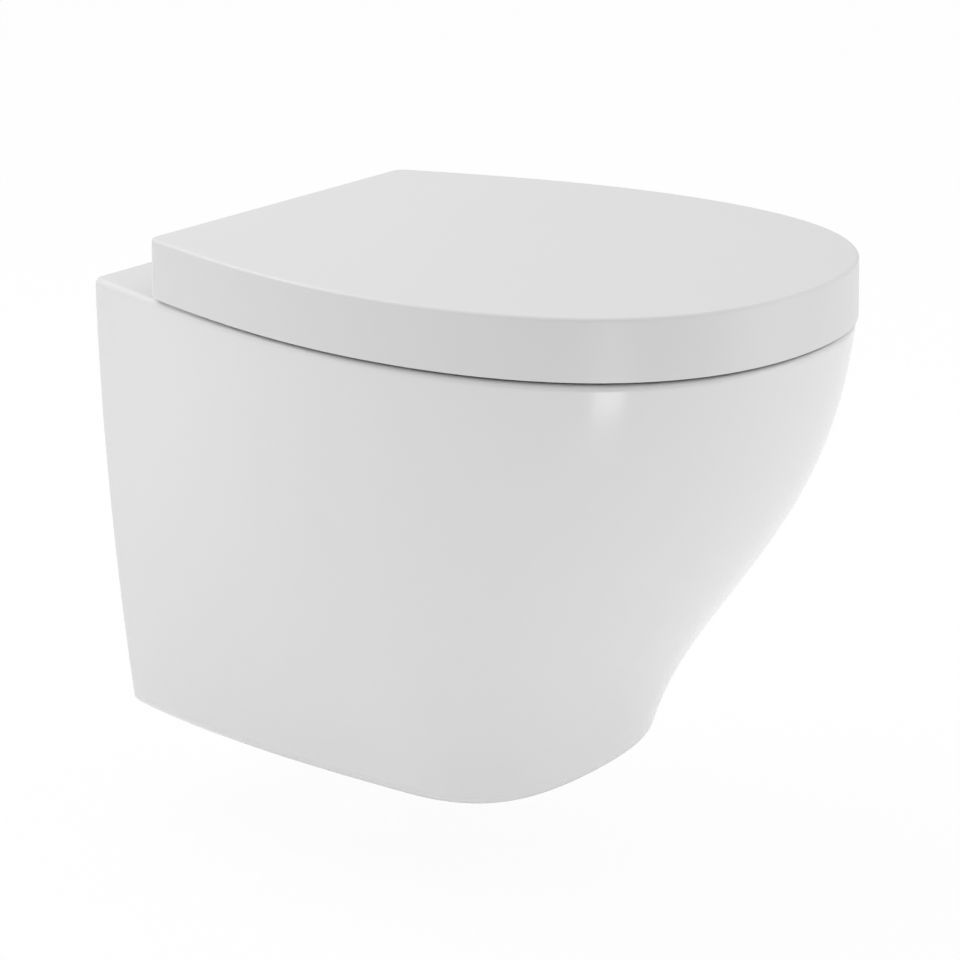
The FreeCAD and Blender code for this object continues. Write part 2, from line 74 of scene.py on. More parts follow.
lamps = [
    # name, place, size, strength
    ("leftPanel", (-2.0, 1.1, 0.9), (1.4, 1.8), 1.4),
    ("frontPanel", (1.3, -2.3, 0.8), (1.3, 1.8), 2.6),
    ("topBackPanel", (-0.3, 0.9, 1.3), (1.0, 1.0), 7.4),
    ("kneePanel", (-0.66, -0.94, -0.16), (0.20, 0.28), 0.42),
    ("lowFrontPanel", (0.5, -1.6, -0.1), (0.8, 0.5), 0.8),
]


def placeCamera():
    azimuth = math.radians(studio["azimuth"])
    elevation = math.radians(studio["elevation"])
    back = Vector((math.sin(azimuth) * math.cos(elevation),
                   -math.cos(azimuth) * math.cos(elevation),
                   math.sin(elevation)))
    right = Vector((math.cos(azimuth), math.sin(azimuth), 0))
    data = bpy.data.cameras.new("photoCamera")
    data.lens = studio["lens"]
    data.sensor_width = studio["sensor"]
    data.clip_end = studio["seesTo"]
    camera = bpy.data.objects.new("photoCamera", data)
    camera.matrix_world = Matrix((right, back.cross(right), back)).transposed().to_4x4()
    camera.location = Vector(studio["aim"]) + back * studio["distance"]
    bpy.context.collection.objects.link(camera)
    bpy.context.scene.camera = camera


def softbox(name, place, size, watts):
    data = bpy.data.lights.new(name, "AREA")
    data.shape = "RECTANGLE"
    data.size, data.size_y = size
    data.energy = watts
    lamp = bpy.data.objects.new(name, data)
    lamp.location = place
    toObject = Vector(studio["lampAim"]) - Vector(place)
    lamp.rotation_euler = toObject.to_track_quat("-Z", "Y").to_euler()
    bpy.context.collection.objects.link(lamp)


def glowing(nodes, strength):
    light = nodes.new("ShaderNodeBackground")
    light.inputs["Color"].default_value = (1, 1, 1, 1)
    light.inputs["Strength"].default_value = strength
    return light


# a row of sums on one value
def chain(nodes, links, value, *sums):
    for operation, amount in sums:
        step = nodes.new("ShaderNodeMath")
        step.operation = operation
        step.inputs[1].default_value = amount
        links.new(value, step.inputs[0])
        value = step.outputs[0]
    return value


def lightStudio():
    for name, place, size, watts in lamps:
        softbox(name, place, size, watts)
    world = bpy.data.worlds.new("studioAir")
    bpy.context.scene.world = world
    world.use_nodes = True
    nodes, links = world.node_tree.nodes, world.node_tree.links
    nodes.clear()
    seen = glowing(nodes, studio["backdrop"])
    air = glowing(nodes, studio["air"])
    direction = nodes.new("ShaderNodeTexCoord")
    level = None
    for towards, sharpness, change in studio["skyGlow"]:
        facing = nodes.new("ShaderNodeVectorMath")
        facing.operation = "DOT_PRODUCT"
        facing.inputs[1].default_value = Vector(towards).normalized()
        links.new(direction.outputs["Generated"], facing.inputs[0])
        lobe = chain(nodes, links, facing.outputs["Value"],
                     ("MAXIMUM", 0.0), ("POWER", sharpness), ("MULTIPLY", change))
        if level is None:
            level = chain(nodes, links, lobe, ("ADD", studio["air"]))
        else:
            total = nodes.new("ShaderNodeMath")
            links.new(level, total.inputs[0])
            links.new(lobe, total.inputs[1])
            level = total.outputs[0]
    links.new(level, air.inputs["Strength"])
    path = nodes.new("ShaderNodeLightPath")
    mix = nodes.new("ShaderNodeMixShader")
    out = nodes.new("ShaderNodeOutputWorld")
    links.new(path.outputs["Is Camera Ray"], mix.inputs["Fac"])
    links.new(air.outputs[0], mix.inputs[1])
    links.new(seen.outputs[0], mix.inputs[2])
    links.new(mix.outputs[0], out.inputs["Surface"])


def floorMaterial():
    material = bpy.data.materials.new("paleFloor")
    material.use_nodes = True
    nodes, links = material.node_tree.nodes, material.node_tree.links
    nodes.clear()
    paint = nodes.new("ShaderNodeBsdfDiffuse")
    tone = studio["floorTone"]
    paint.inputs["Color"].default_value = (tone, tone, tone, 1)
    glow = nodes.new("ShaderNodeEmission")
    glow.inputs["Color"].default_value = (1, 1, 1, 1)
    path = nodes.new("ShaderNodeLightPath")
    share = nodes.new("ShaderNodeMath")
    share.operation = "MULTIPLY"
    share.inputs[1].default_value = 1 - studio["shadowShare"]
    mix = nodes.new("ShaderNodeMixShader")
    out = nodes.new("ShaderNodeOutputMaterial")
    links.new(path.outputs["Is Camera Ray"], share.inputs[0])
    links.new(share.outputs[0], mix.inputs["Fac"])
    links.new(paint.outputs[0], mix.inputs[1])
    links.new(glow.outputs[0], mix.inputs[2])
    links.new(mix.outputs[0], out.inputs["Surface"])
    return material


def layFloor():
    half = studio["floorSize"] / 2
    level = studio["floorLevel"]
    mesh = bpy.data.meshes.new("floor")
    corners = [(-half, -half, level), (half, -half, level), (half, half, level), (-half, half, level)]
    mesh.from_pydata(corners, [], [(0, 1, 2, 3)])
    floor = bpy.data.objects.new("floor", mesh)
    mesh.materials.append(floorMaterial())
    bpy.context.collection.objects.link(floor)


placeCamera()
lightStudio()
layFloor()
print("studio ready")


# effects that several materials share are node groups with named inputs
def startGroup(name, inputs, outputs):
    group = bpy.data.node_groups.new(name, "ShaderNodeTree")
    for label, value in inputs.items():
        kind = "NodeSocketColor" if isinstance(value, tuple) else "NodeSocketFloat"
        socket = group.interface.new_socket(label, in_out="INPUT", socket_type=kind)
        socket.default_value = value
    for label, kind in outputs.items():
        group.interface.new_socket(label, in_out="OUTPUT", socket_type=kind)
    return group, group.nodes.new("NodeGroupInput"), group.nodes.new("NodeGroupOutput")


def cloudIn(group, entry, detail):
    place = group.nodes.new("ShaderNodeTexCoord")
    cloud = group.nodes.new("ShaderNodeTexNoise")
    cloud.inputs["Detail"].default_value = detail
    group.links.new(place.outputs["Object"], cloud.inputs["Vector"])
    group.links.new(entry.outputs["Size"], cloud.inputs["Scale"])
    return cloud


# a tone that drifts slowly into a second one
def makeToneDrift():
    group, entry, leave = startGroup(
        "toneDrift",
        {"Tone": (0.8, 0.8, 0.8, 1), "Shade": (0.76, 0.76, 0.76, 1), "Size": 3.0},
        {"Color": "NodeSocketColor"})
    cloud = cloudIn(group, entry, 2)
    mix = group.nodes.new("ShaderNodeMix")
    mix.data_type = "RGBA"
    group.links.new(cloud.outputs["Fac"], mix.inputs["Factor"])
    group.links.new(entry.outputs["Tone"], mix.inputs["A"])
    group.links.new(entry.outputs["Shade"], mix.inputs["B"])
    group.links.new(mix.outputs["Result"], leave.inputs["Color"])
    return group


# roughness between two limits, in soft patches
def makePolish():
    group, entry, leave = startGroup(
        "polish", {"Fine": 0.05, "Dull": 0.10, "Size": 20.0}, {"Roughness": "NodeSocketFloat"})
    cloud = cloudIn(group, entry, 4)
    calm, strong = 0.3, 0.7   # most of the cloud lies between
    spread = group.nodes.new("ShaderNodeMapRange")
    spread.inputs["From Min"].default_value = calm
    spread.inputs["From Max"].default_value = strong
    group.links.new(cloud.outputs["Fac"], spread.inputs["Value"])
    group.links.new(entry.outputs["Fine"], spread.inputs["To Min"])
    group.links.new(entry.outputs["Dull"], spread.inputs["To Max"])
    group.links.new(spread.outputs["Result"], leave.inputs["Roughness"])
    return group


# gentle unevenness of a fired glaze or a moulded skin
def makeSkinWave():
    group, entry, leave = startGroup(
        "skinWave", {"Size": 60.0, "Height": 0.1, "Depth": 0.0002}, {"Normal": "NodeSocketVector"})
    cloud = cloudIn(group, entry, 1)
    bump = group.nodes.new("ShaderNodeBump")
    group.links.new(cloud.outputs["Fac"], bump.inputs["Height"])
    group.links.new(entry.outputs["Height"], bump.inputs["Strength"])
    group.links.new(entry.outputs["Depth"], bump.inputs["Distance"])
    group.links.new(bump.outputs["Normal"], leave.inputs["Normal"])
    return group


toneDrift = makeToneDrift()
polish = makePolish()
skinWave = makeSkinWave()


# one finish per material slot; sizes are cloud patches per metre
finishes = {
    "glazed_china": {
        "tone": (0.785, 0.785, 0.785), "shade": (0.77, 0.77, 0.77), "driftSize": 4,
        "fine": 0.14, "dull": 0.18, "metal": 0, "coat": 0.3, "waveSize": 45, "waveHeight": 0.05},
    "seat_plastic": {
        "tone": (0.745, 0.745, 0.745), "shade": (0.73, 0.73, 0.73), "driftSize": 5,
        "fine": 0.29, "dull": 0.34, "metal": 0, "coat": 0, "waveSize": 120, "waveHeight": 0.04},
    "buffer_rubber": {
        "tone": (0.72, 0.72, 0.71), "shade": (0.66, 0.66, 0.65), "driftSize": 90,
        "fine": 0.5, "dull": 0.65, "metal": 0, "coat": 0, "waveSize": 900, "waveHeight": 0.4},
    "seal_rubber": {
        "tone": (0.030, 0.030, 0.031), "shade": (0.045, 0.045, 0.045), "driftSize": 60,
        "fine": 0.55, "dull": 0.75, "metal": 0, "coat": 0, "waveSize": 900, "waveHeight": 0.5},
    "hinge_casting": {
        "tone": (0.80, 0.81, 0.83), "shade": (0.72, 0.73, 0.75), "driftSize": 40,
        "fine": 0.11, "dull": 0.19, "metal": 1, "coat": 0, "waveSize": 150, "waveHeight": 0.05},
    "fastener_steel": {
        "tone": (0.60, 0.60, 0.61), "shade": (0.50, 0.50, 0.51), "driftSize": 200,
        "fine": 0.22, "dull": 0.38, "metal": 1, "coat": 0, "waveSize": 700, "waveHeight": 0.2},
    "damper_plastic": {
        "tone": (0.55, 0.56, 0.57), "shade": (0.50, 0.51, 0.52), "driftSize": 80,
        "fine": 0.35, "dull": 0.45, "metal": 0, "coat": 0, "waveSize": 400, "waveHeight": 0.1},
    "fixing_nylon": {
        "tone": (0.78, 0.78, 0.74), "shade": (0.72, 0.72, 0.67), "driftSize": 60,
        "fine": 0.38, "dull": 0.5, "metal": 0, "coat": 0, "waveSize": 400, "waveHeight": 0.2},
    "diffuser_plastic": {
        "tone": (0.78, 0.78, 0.78), "shade": (0.74, 0.74, 0.74), "driftSize": 40,
        "fine": 0.2, "dull": 0.28, "metal": 0, "coat": 0.2, "waveSize": 200, "waveHeight": 0.08},
}


def useGroup(nodes, group, values):
    node = nodes.new("ShaderNodeGroup")
    node.node_tree = group
    for label, value in values.items():
        node.inputs[label].default_value = value
    return node


def makeFinish(name):
    finish = finishes[name]
    material = bpy.data.materials.new(name)
    material.use_nodes = True
    nodes, links = material.node_tree.nodes, material.node_tree.links
    shader = nodes["Principled BSDF"]
    colour = useGroup(nodes, toneDrift, {
        "Tone": (*finish["tone"], 1), "Shade": (*finish["shade"], 1), "Size": finish["driftSize"]})
    gloss = useGroup(nodes, polish, {"Fine": finish["fine"], "Dull": finish["dull"]})
    skin = useGroup(nodes, skinWave, {"Size": finish["waveSize"], "Height": finish["waveHeight"]})
    links.new(colour.outputs["Color"], shader.inputs["Base Color"])
    links.new(gloss.outputs["Roughness"], shader.inputs["Roughness"])
    links.new(skin.outputs["Normal"], shader.inputs["Normal"])
    shader.inputs["Metallic"].default_value = finish["metal"]
    shader.inputs["Coat Weight"].default_value = finish["coat"]
    shader.inputs["Coat Roughness"].default_value = finish["fine"]
    return material


materials = {name: makeFinish(name) for name in finishes}
slotOf = {part["node"]: part["material_slot"] for part in frame["record"]["subparts"]}
for name, node in frame["nodes"].items():
    for slot in node.material_slots:
        slot.material = materials[slotOf[name]]
print("materials ready")


# how many sides a curve gets
steps = {
    "rear": 8, "corner": 4, "flare": 20, "front": 44,
    "tiny": 24, "small": 40, "round": 48, "large": 64, "widest": 72, "bend": 12,
}
halvings = 40                 # how often the search along a curve halves its span
past = 1                      # cutters reach this far past a face
sharpFrom = 38                # degrees between faces


def toMetres(x, out, z):
    return (x * mm, -out * mm, z * mm)


def keepMesh(name, bm):
    bmesh.ops.recalc_face_normals(bm, faces=bm.faces)
    mesh = bpy.data.meshes.new(name)
    bm.to_mesh(mesh)
    bm.free()
    piece = bpy.data.objects.new(name, mesh)
    bpy.context.collection.objects.link(piece)
    return piece


# quads between rings of equal count, with flat caps or joined into a loop
def skinRings(name, rings, looped=False):
    bm = bmesh.new()
    rows = [[bm.verts.new(toMetres(*corner)) for corner in ring] for ring in rings]
    count = len(rings[0])
    spans = len(rows) if looped else len(rows) - 1
    for r in range(spans):
        low, high = rows[r], rows[(r + 1) % len(rows)]
        for i in range(count):
            j = (i + 1) % count
            bm.faces.new((low[i], low[j], high[j], high[i]))
    if not looped:
        bm.faces.new(rows[0])
        bm.faces.new(rows[-1])
    return keepMesh(name, bm)


# turned form: profile of (radius, along) round an axis through a point
def turned(name, profile, axis, x, out, z, looped=False, segments=steps["round"]):
    rings = []
    for radius, along in profile:
        ring = []
        for i in range(segments):
            turn = 2 * math.pi * (i + 0.5) / segments
            side, rise = radius * math.cos(turn), radius * math.sin(turn)
            if axis == "out":
                ring.append((x + side, along, z + rise))
            elif axis == "x":
                ring.append((along, out + side, z + rise))
            else:
                ring.append((x + side, out + rise, along))
        rings.append(ring)
    return skinRings(name, rings, looped)


# side outline of (out, z) corners, from one x to another
def slab(name, corners, x0, x1):
    return skinRings(name, [[(x, out, z) for out, z in corners] for x in (x0, x1)])


def block(name, x0, x1, out0, out1, z0, z1):
    return slab(name, [(out0, z0), (out1, z0), (out1, z1), (out0, z1)], x0, x1)


def carve(piece, cutters, operation="DIFFERENCE"):
    for cutter in cutters:
        step = piece.modifiers.new("carve", "BOOLEAN")
        step.operation = operation
        step.solver = "EXACT"
        step.object = cutter
    depsgraph = bpy.context.evaluated_depsgraph_get()
    shaped = bpy.data.meshes.new_from_object(piece.evaluated_get(depsgraph))
    piece.modifiers.clear()
    piece.data = shaped
    for cutter in cutters:
        bpy.data.objects.remove(cutter)


def joined(name, pieces):
    bm = bmesh.new()
    for piece in pieces:
        bm.from_mesh(piece.data)
        bpy.data.objects.remove(piece)
    mesh = bpy.data.meshes.new(name)
    bm.to_mesh(mesh)
    bm.free()
    whole = bpy.data.objects.new(name, mesh)
    bpy.context.collection.objects.link(whole)
    return whole


def standIn(piece, node, body):
    mesh = piece.data
    mesh.materials.clear()
    mesh.materials.append(materials[slotOf[node]])
    mesh.shade_smooth()
    mesh.set_sharp_from_angle(angle=math.radians(sharpFrom))
    even = piece.modifiers.new("evenShading", "WEIGHTED_NORMAL")
    even.keep_sharp = True
    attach(piece, body)
    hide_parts(node)


# the outlines that pan, lid and seat share
form = {
    "deck": 80, "height": 322,
    "rim": {"wall": 114.5, "wide": 184.5, "wideOut": 290, "roundness": 0.64, "reach": 507},
    "foot": {"wall": 86, "wide": 115, "wideOut": 266, "roundness": 0.73, "reach": 350},
    "sideCurve": 1.8, "planCurve": 1.5, "frontCurve": 1.3, "frontStraight": 0.3,
    "flareSlope": 0.30, "flareStart": 0.276, "flareEnd": 0.62,
    "eggWidest": 0.48, "eggRoundness": 0.6, "cornerPull": 0.45,
}


def bezierPoint(poles, t):
    a, b, c, d = poles
    s = 1 - t
    return tuple(s ** 3 * a[k] + 3 * s * s * t * b[k] + 3 * s * t * t * c[k] + t ** 3 * d[k]
                 for k in (0, 1))


def between(top, bottom, share, curve):
    return top + (bottom - top) * share ** curve


def planAt(share):
    rim, foot = form["rim"], form["foot"]
    wave = 0.5 * (1 + math.cos(math.pi * share ** form["frontCurve"]))
    fall = (1 - form["frontStraight"]) * wave + form["frontStraight"] * (1 - share)
    return {
        "wall": between(rim["wall"], foot["wall"], share, form["sideCurve"]),
        "wide": between(rim["wide"], foot["wide"], share, form["sideCurve"]),
        "wideOut": between(rim["wideOut"], foot["wideOut"], share, form["planCurve"]),
        "roundness": between(rim["roundness"], foot["roundness"], share, form["planCurve"]),
        "reach": foot["reach"] + (rim["reach"] - foot["reach"]) * fall,
    }


def planCurves(plan, inset):
    wall, wide, wideOut = plan["wall"] - inset, plan["wide"] - inset, plan["wideOut"]
    reach, roundness = plan["reach"] - inset, plan["roundness"]
    bend = wideOut * form["flareStart"]
    flare = [(wall, 0), (wall + form["flareSlope"] * bend, bend),
             (wide, wideOut * form["flareEnd"]), (wide, wideOut)]
    front = [(wide, wideOut), (wide, wideOut + roundness * (reach - wideOut)),
             (roundness * wide, reach), (0, reach)]
    return flare, front


def whereOut(curve, out):
    low, high = 0.0, 1.0
    for _ in range(halvings):
        middle = (low + high) / 2
        if bezierPoint(curve, middle)[1] < out:
            low = middle
        else:
            high = middle
    return low


def mirrorHalf(half):
    return half + [(-x, out) for x, out in reversed(half[1:-1])]


# closed outline from the middle of the rear, round the right side to the front and back
def outlineFrom(flare, front, rearOut, corner):
    cornerX = bezierPoint(flare, whereOut(flare, rearOut))[0]
    start = whereOut(flare, rearOut + corner)
    enter = bezierPoint(flare, start)
    pull = corner * form["cornerPull"]
    turn = [(cornerX - corner, rearOut), (cornerX - pull, rearOut), (cornerX, rearOut + pull), enter]
    half = [((cornerX - corner) * i / steps["rear"], rearOut) for i in range(steps["rear"])]
    half += [bezierPoint(turn, i / steps["corner"]) for i in range(steps["corner"])]
    half += [bezierPoint(flare, start + (1 - start) * i / steps["flare"]) for i in range(steps["flare"])]
    half += [bezierPoint(front, i / steps["front"]) for i in range(steps["front"] + 1)]
    return mirrorHalf(half)


def eggOutline(rearOut, reach, halfWidth):
    roundness = form["eggRoundness"]
    wideOut = rearOut + form["eggWidest"] * (reach - rearOut)
    rear = [(0, rearOut), (roundness * halfWidth, rearOut),
            (halfWidth, wideOut - roundness * (wideOut - rearOut)), (halfWidth, wideOut)]
    front = [(halfWidth, wideOut), (halfWidth, wideOut + roundness * (reach - wideOut)),
             (roundness * halfWidth, reach), (0, reach)]
    count = steps["rear"] + steps["corner"] + steps["flare"]
    half = [bezierPoint(rear, i / count) for i in range(count)]
    half += [bezierPoint(front, i / steps["front"]) for i in range(steps["front"] + 1)]
    return mirrorHalf(half)


def atLevel(outline, z):
    return [(x, out, z) for x, out in outline]


# inset and rise of a quarter round, from upright to flat
def quarterRound(radius, count):
    turns = [math.pi / 2 * i / count for i in range(count + 1)]
    return [(radius * (1 - math.cos(a)), radius * (math.sin(a) - 1)) for a in turns]


# the ceramic pan
pan = {
    "rimRound": 4.5, "footRound": 9, "wallCorner": 2.5, "sides": 28,
    "bowlRear": 142, "bowlFront": 464, "bowlHalf": 141.5, "lipRound": 8,
    "bowlDrop": 278, "bowlCurve": 1.62, "rearCurve": 1.3, "rearSlant": 32,
    "sumpLength": 54, "sumpHalf": 27.5, "bowlRows": 26,
    "china": 12, "deckThickness": 14, "cavityOut": 128, "cavityRound": 5,
    "handHalf": 52, "handStart": 24, "handEnd": 108,
    "hingeX": 77.5, "hingeOut": 110, "hingeHole": 7,
    "fixX": 90, "lugRadius": 20, "lugLength": 62, "blockHole": 12, "collarHole": 16, "collarDepth": 3,
    "inletDrop": 45, "inletBore": 27.5, "hornWall": 7.5, "jetBore": 20,
    "outletDrop": 180, "spigot": 51, "outletBore": 42, "spigotLength": 46,
    "trapBore": 25, "trapWall": 9, "trapBend": 44,
    "trapSpots": [(30, -95), (84, -72), (150, -170), (205, -170)],
    "setBack": 0.3,           # horn and lugs end this far short of the wall plane
    "spigotEdge": [(-1.2, 0), (-0.3, 0.4), (0, 1.4)],         # change of radius, way out
    "hornEdge": 0.8, "lugEdge": 0.6, "lugNose": 1.5,          # chamfers
    "lockRadius": 4.5, "lockOut": 36,                         # bore of the locking screws
    "intoChina": 30, "jetEnd": 160, "hingeDepth": 16,         # how far trap, jet and hinge holes run in
    "roundRows": 6, "lipRows": 7, "cavityRows": 12, "cavitySteps": 10, "cavityRoundRows": 4,
}


def bowlOutline(share, grow=0.0):
    drawn = 0.5 * (1 - math.cos(math.pi * share ** pan["bowlCurve"]))
    sumpRear = pan["bowlRear"] + pan["rearSlant"]
    rear = between(pan["bowlRear"], sumpRear, share, pan["rearCurve"])
    front = pan["bowlFront"] + (sumpRear + pan["sumpLength"] - pan["bowlFront"]) * drawn
    half = pan["bowlHalf"] + (pan["sumpHalf"] - pan["bowlHalf"]) * drawn
    return eggOutline(rear - grow, front + grow, half + grow)


def panRing(inset, z):
    plan = planAt((form["deck"] - z) / form["height"])
    return atLevel(outlineFrom(*planCurves(plan, inset), 0, pan["wallCorner"]), z)


# one skin from under the foot, up the sides, over the deck and down into the sump
def panBody():
    deck = form["deck"]
    foot = deck - form["height"]
    rows = pan["roundRows"]
    rings = [panRing(inset, foot - rise) for inset, rise in reversed(quarterRound(pan["footRound"], rows))]
    low, high = foot + pan["footRound"], deck - pan["rimRound"]
    rings += [panRing(0, low + (high - low) * i / pan["sides"]) for i in range(1, pan["sides"])]
    rings += [panRing(inset, deck + rise) for inset, rise in quarterRound(pan["rimRound"], rows)]
    drop = pan["bowlDrop"]
    for inset, rise in reversed(quarterRound(pan["lipRound"], pan["lipRows"])):
        rings.append(atLevel(bowlOutline(-rise / drop, inset), deck + rise))
    first = pan["lipRound"] / drop
    for i in range(1, pan["bowlRows"] + 1):
        share = first + (1 - first) * i / pan["bowlRows"]
        rings.append(atLevel(bowlOutline(share), deck - share * drop))
    return skinRings("panGlaze", rings)


def cavityForm():
    top = form["deck"] - pan["deckThickness"]
    bottom = form["deck"] - form["height"] + pan["china"]
    far, corner = pan["cavityOut"], pan["cavityRound"]
    rows, count = pan["cavityRows"], pan["cavitySteps"]
    rings = []
    for i in range(rows + 1):
        z = bottom + (top - bottom) * i / rows
        flare = planCurves(planAt((form["deck"] - z) / form["height"]), pan["china"])[0]
        side = [(bezierPoint(flare, whereOut(flare, out))[0], out)
                for out in [(far - corner) * k / count for k in range(count + 1)]]
        x = side[-1][0]
        turn = [(x - inset, far + rise) for inset, rise in quarterRound(corner, pan["cavityRoundRows"])][1:]
        half = [(0, -past), (side[0][0], -past)] + side + turn + [(0, far)]
        rings.append(atLevel(mirrorHalf(half), z))
    return skinRings("cavityForm", rings)


# straight runs joined by arcs, as (out, z) points
def roundedPath(spots, bend):
    points = [Vector(spots[0])]
    for before, here, after in zip(spots, spots[1:], spots[2:]):
        here = Vector(here)
        back = (Vector(before) - here).normalized()
        ahead = (Vector(after) - here).normalized()
        half = back.angle(ahead) / 2
        centre = here + (back + ahead).normalized() * (bend / math.sin(half))
        start = here + back * (bend / math.tan(half)) - centre
        end = here + ahead * (bend / math.tan(half)) - centre
        sweep = math.pi - 2 * half
        for i in range(steps["bend"] + 1):
            t = i / steps["bend"]
            points.append(centre + (start * math.sin((1 - t) * sweep) + end * math.sin(t * sweep))
                          / math.sin(sweep))
    points.append(Vector(spots[-1]))
    return points


def tube(name, points, radius, segments=steps["round"]):
    rings = []
    for i, point in enumerate(points):
        ahead = points[min(i + 1, len(points) - 1)] - points[max(i - 1, 0)]
        ahead.normalize()
        ring = []
        for k in range(segments):
            turn = 2 * math.pi * (k + 0.5) / segments
            rise = radius * math.cos(turn)
            ring.append((radius * math.sin(turn), point.x - ahead.y * rise, point.y + ahead.x * rise))
        rings.append(ring)
    return skinRings(name, rings)


# solid outsides of outlet, trap tube, inlet horn and fixing lugs
def pipeOutsides():
    deck, rear = form["deck"], pan["setBack"]
    radius, length = pan["spigot"], pan["spigotLength"]
    path = roundedPath(pan["trapSpots"], pan["trapBend"])
    inside = [p for p in path[:-1] if p.x < pan["cavityOut"] + pan["intoChina"]]
    yield turned("spigot", [(radius + grow, out) for grow, out in pan["spigotEdge"]] + [(radius, length)],
                 "out", 0, 0, deck - pan["outletDrop"], segments=steps["widest"])
    yield tube("trapOutside", inside, pan["trapBore"] + pan["trapWall"])
    radius, edge = pan["inletBore"] + pan["hornWall"], pan["hornEdge"]
    yield turned("horn", [(radius - edge, rear), (radius, rear + edge), (radius, pan["cavityOut"] + past)],
                 "out", 0, 0, deck - pan["inletDrop"], segments=steps["large"])
    radius, length = pan["lugRadius"], pan["lugLength"]
    edge, nose = pan["lugEdge"], pan["lugNose"]
    for side in (-1, 1):
        yield turned("lug", [(radius - edge, rear), (radius, rear + edge), (radius, length - nose),
                             (radius - nose, length)], "out", side * pan["fixX"], 0, 0)


# the ways bored through them
def pipeWays():
    deck = form["deck"]
    yield tube("trapWay", roundedPath(pan["trapSpots"], pan["trapBend"]), pan["trapBore"])
    bore, depth = pan["outletBore"], pan["spigotLength"] - pan["trapWall"]
    yield turned("outletWay", [(bore, -past), (bore, depth)],
                 "out", 0, 0, deck - pan["outletDrop"], segments=steps["widest"])
    bore, jet, throat = pan["inletBore"], pan["jetBore"], pan["cavityOut"] - pan["china"]
    yield turned("inletWay", [(bore, -past), (bore, throat), (jet, throat), (jet, pan["jetEnd"])],
                 "out", 0, 0, deck - pan["inletDrop"], segments=steps["large"])
    hole, collar, deep = pan["blockHole"], pan["collarHole"], pan["collarDepth"]
    lock, studHole = pan["lockRadius"], pan["hingeHole"]
    for side in (-1, 1):
        x = side * pan["fixX"]
        yield turned("blockWay", [(collar, -past), (collar, deep), (hole, deep),
                                  (hole, pan["lugLength"] + past)], "out", x, 0, 0)
        ends = sorted((x - side * (pan["lugRadius"] + past), x))
        yield turned("lockWay", [(lock, ends[0]), (lock, ends[1])],
                     "x", x, pan["lockOut"], 0, segments=steps["tiny"])
        yield turned("hingeWay", [(studHole, deck - pan["hingeDepth"]), (studHole, deck + past)],
                     "z", side * pan["hingeX"], pan["hingeOut"], 0, segments=steps["small"])


def buildPan():
    foot = form["deck"] - form["height"]
    body = panBody()
    hand = block("handOpening", -pan["handHalf"], pan["handHalf"], pan["handStart"], pan["handEnd"],
                 foot - past, foot + pan["china"] + past)
    carve(body, [cavityForm(), hand])
    carve(body, list(pipeOutsides()), "UNION")
    carve(body, list(pipeWays()))
    standIn(body, "ceramic_pan", "pan")


buildPan()
print("pan built")


# the lid
lid = {
    "low": 82, "top": 123, "inner": 118, "rear": 72, "corner": 6, "overhang": 1.2, "draft": 0.8,
    "edge": 2.6, "skirt": 4, "lipHalf": 46, "lipHeight": 11, "skirtCorner": 7.5,
    "ear": (86.5, 101.5), "earSteps": 24, "bossRadius": 10, "bossHeight": 5, "bossEdge": 0.4,
    "buffers": [(-70, 470), (70, 470), (-146, 200), (146, 200)],
    "ceiling": 4, "innerRound": 2.5, "middle": 20, "innerLip": 0.5,
    "outerLip": [(0, 0.6), (0.2, 0.2), (0.7, 0)],     # rise, inset
    "sideRows": 5, "edgeRows": 6, "innerRows": 4, "topBand": 6, "smallestCorner": 1.5,
    "swingSteps": 10, "swingReach": 190,
}
# the axis that lid and seat turn on
hinge = {"out": 86.2, "z": 110, "barrel": 7.5, "pinHole": 3.05, "damperHole": 5.65, "damperLength": 12}


# pin hole from end to end and the damper's pocket
def hingeWays(x0, x1, pocket):
    for name, radius, ends in (("pinWay", hinge["pinHole"], (x0 - past, x1 + past)),
                               ("damperWay", hinge["damperHole"], pocket)):
        yield turned(name, [(radius, ends[0]), (radius, ends[1])], "x", 0, hinge["out"], hinge["z"])


def lidRing(z, inset, rearInset):
    rise = (z - lid["low"]) / (lid["top"] - lid["low"])
    curves = planCurves(planAt(0), inset - lid["overhang"] + lid["draft"] * rise)
    corner = max(lid["corner"] - rearInset / 2, lid["smallestCorner"])
    return atLevel(outlineFrom(*curves, lid["rear"] + rearInset, corner), z)


# the shell as one skin: inner ceiling, down the inside, round the lower edge, up and over
def lidSkin():
    low, top, inner, wall, lip = lid["low"], lid["top"], lid["inner"], lid["skirt"], lid["innerLip"]
    flat = wall + lid["ceiling"]
    rings = [lidRing(inner, flat, flat)]
    for inset, rise in reversed(quarterRound(lid["innerRound"], lid["innerRows"])):
        rings.append(lidRing(inner + rise, wall + inset, wall + inset))
    rings += [lidRing(low + lid["middle"], wall, wall), lidRing(low + lip, wall, wall),
              lidRing(low, wall - lip, wall - lip)]
    rings += [lidRing(low + rise, inset, inset) for rise, inset in lid["outerLip"]]
    start, rows = low + lid["outerLip"][-1][0], lid["sideRows"]
    rings += [lidRing(start + (top - lid["edge"] - start) * i / rows, 0, 0) for i in range(1, rows)]
    for inset, rise in quarterRound(lid["edge"], lid["edgeRows"]):
        rings.append(lidRing(top + rise, inset, inset))
    band = lid["edge"] + lid["topBand"]
    rings.append(lidRing(top, band, band))
    return skinRings("lidSkin", rings)


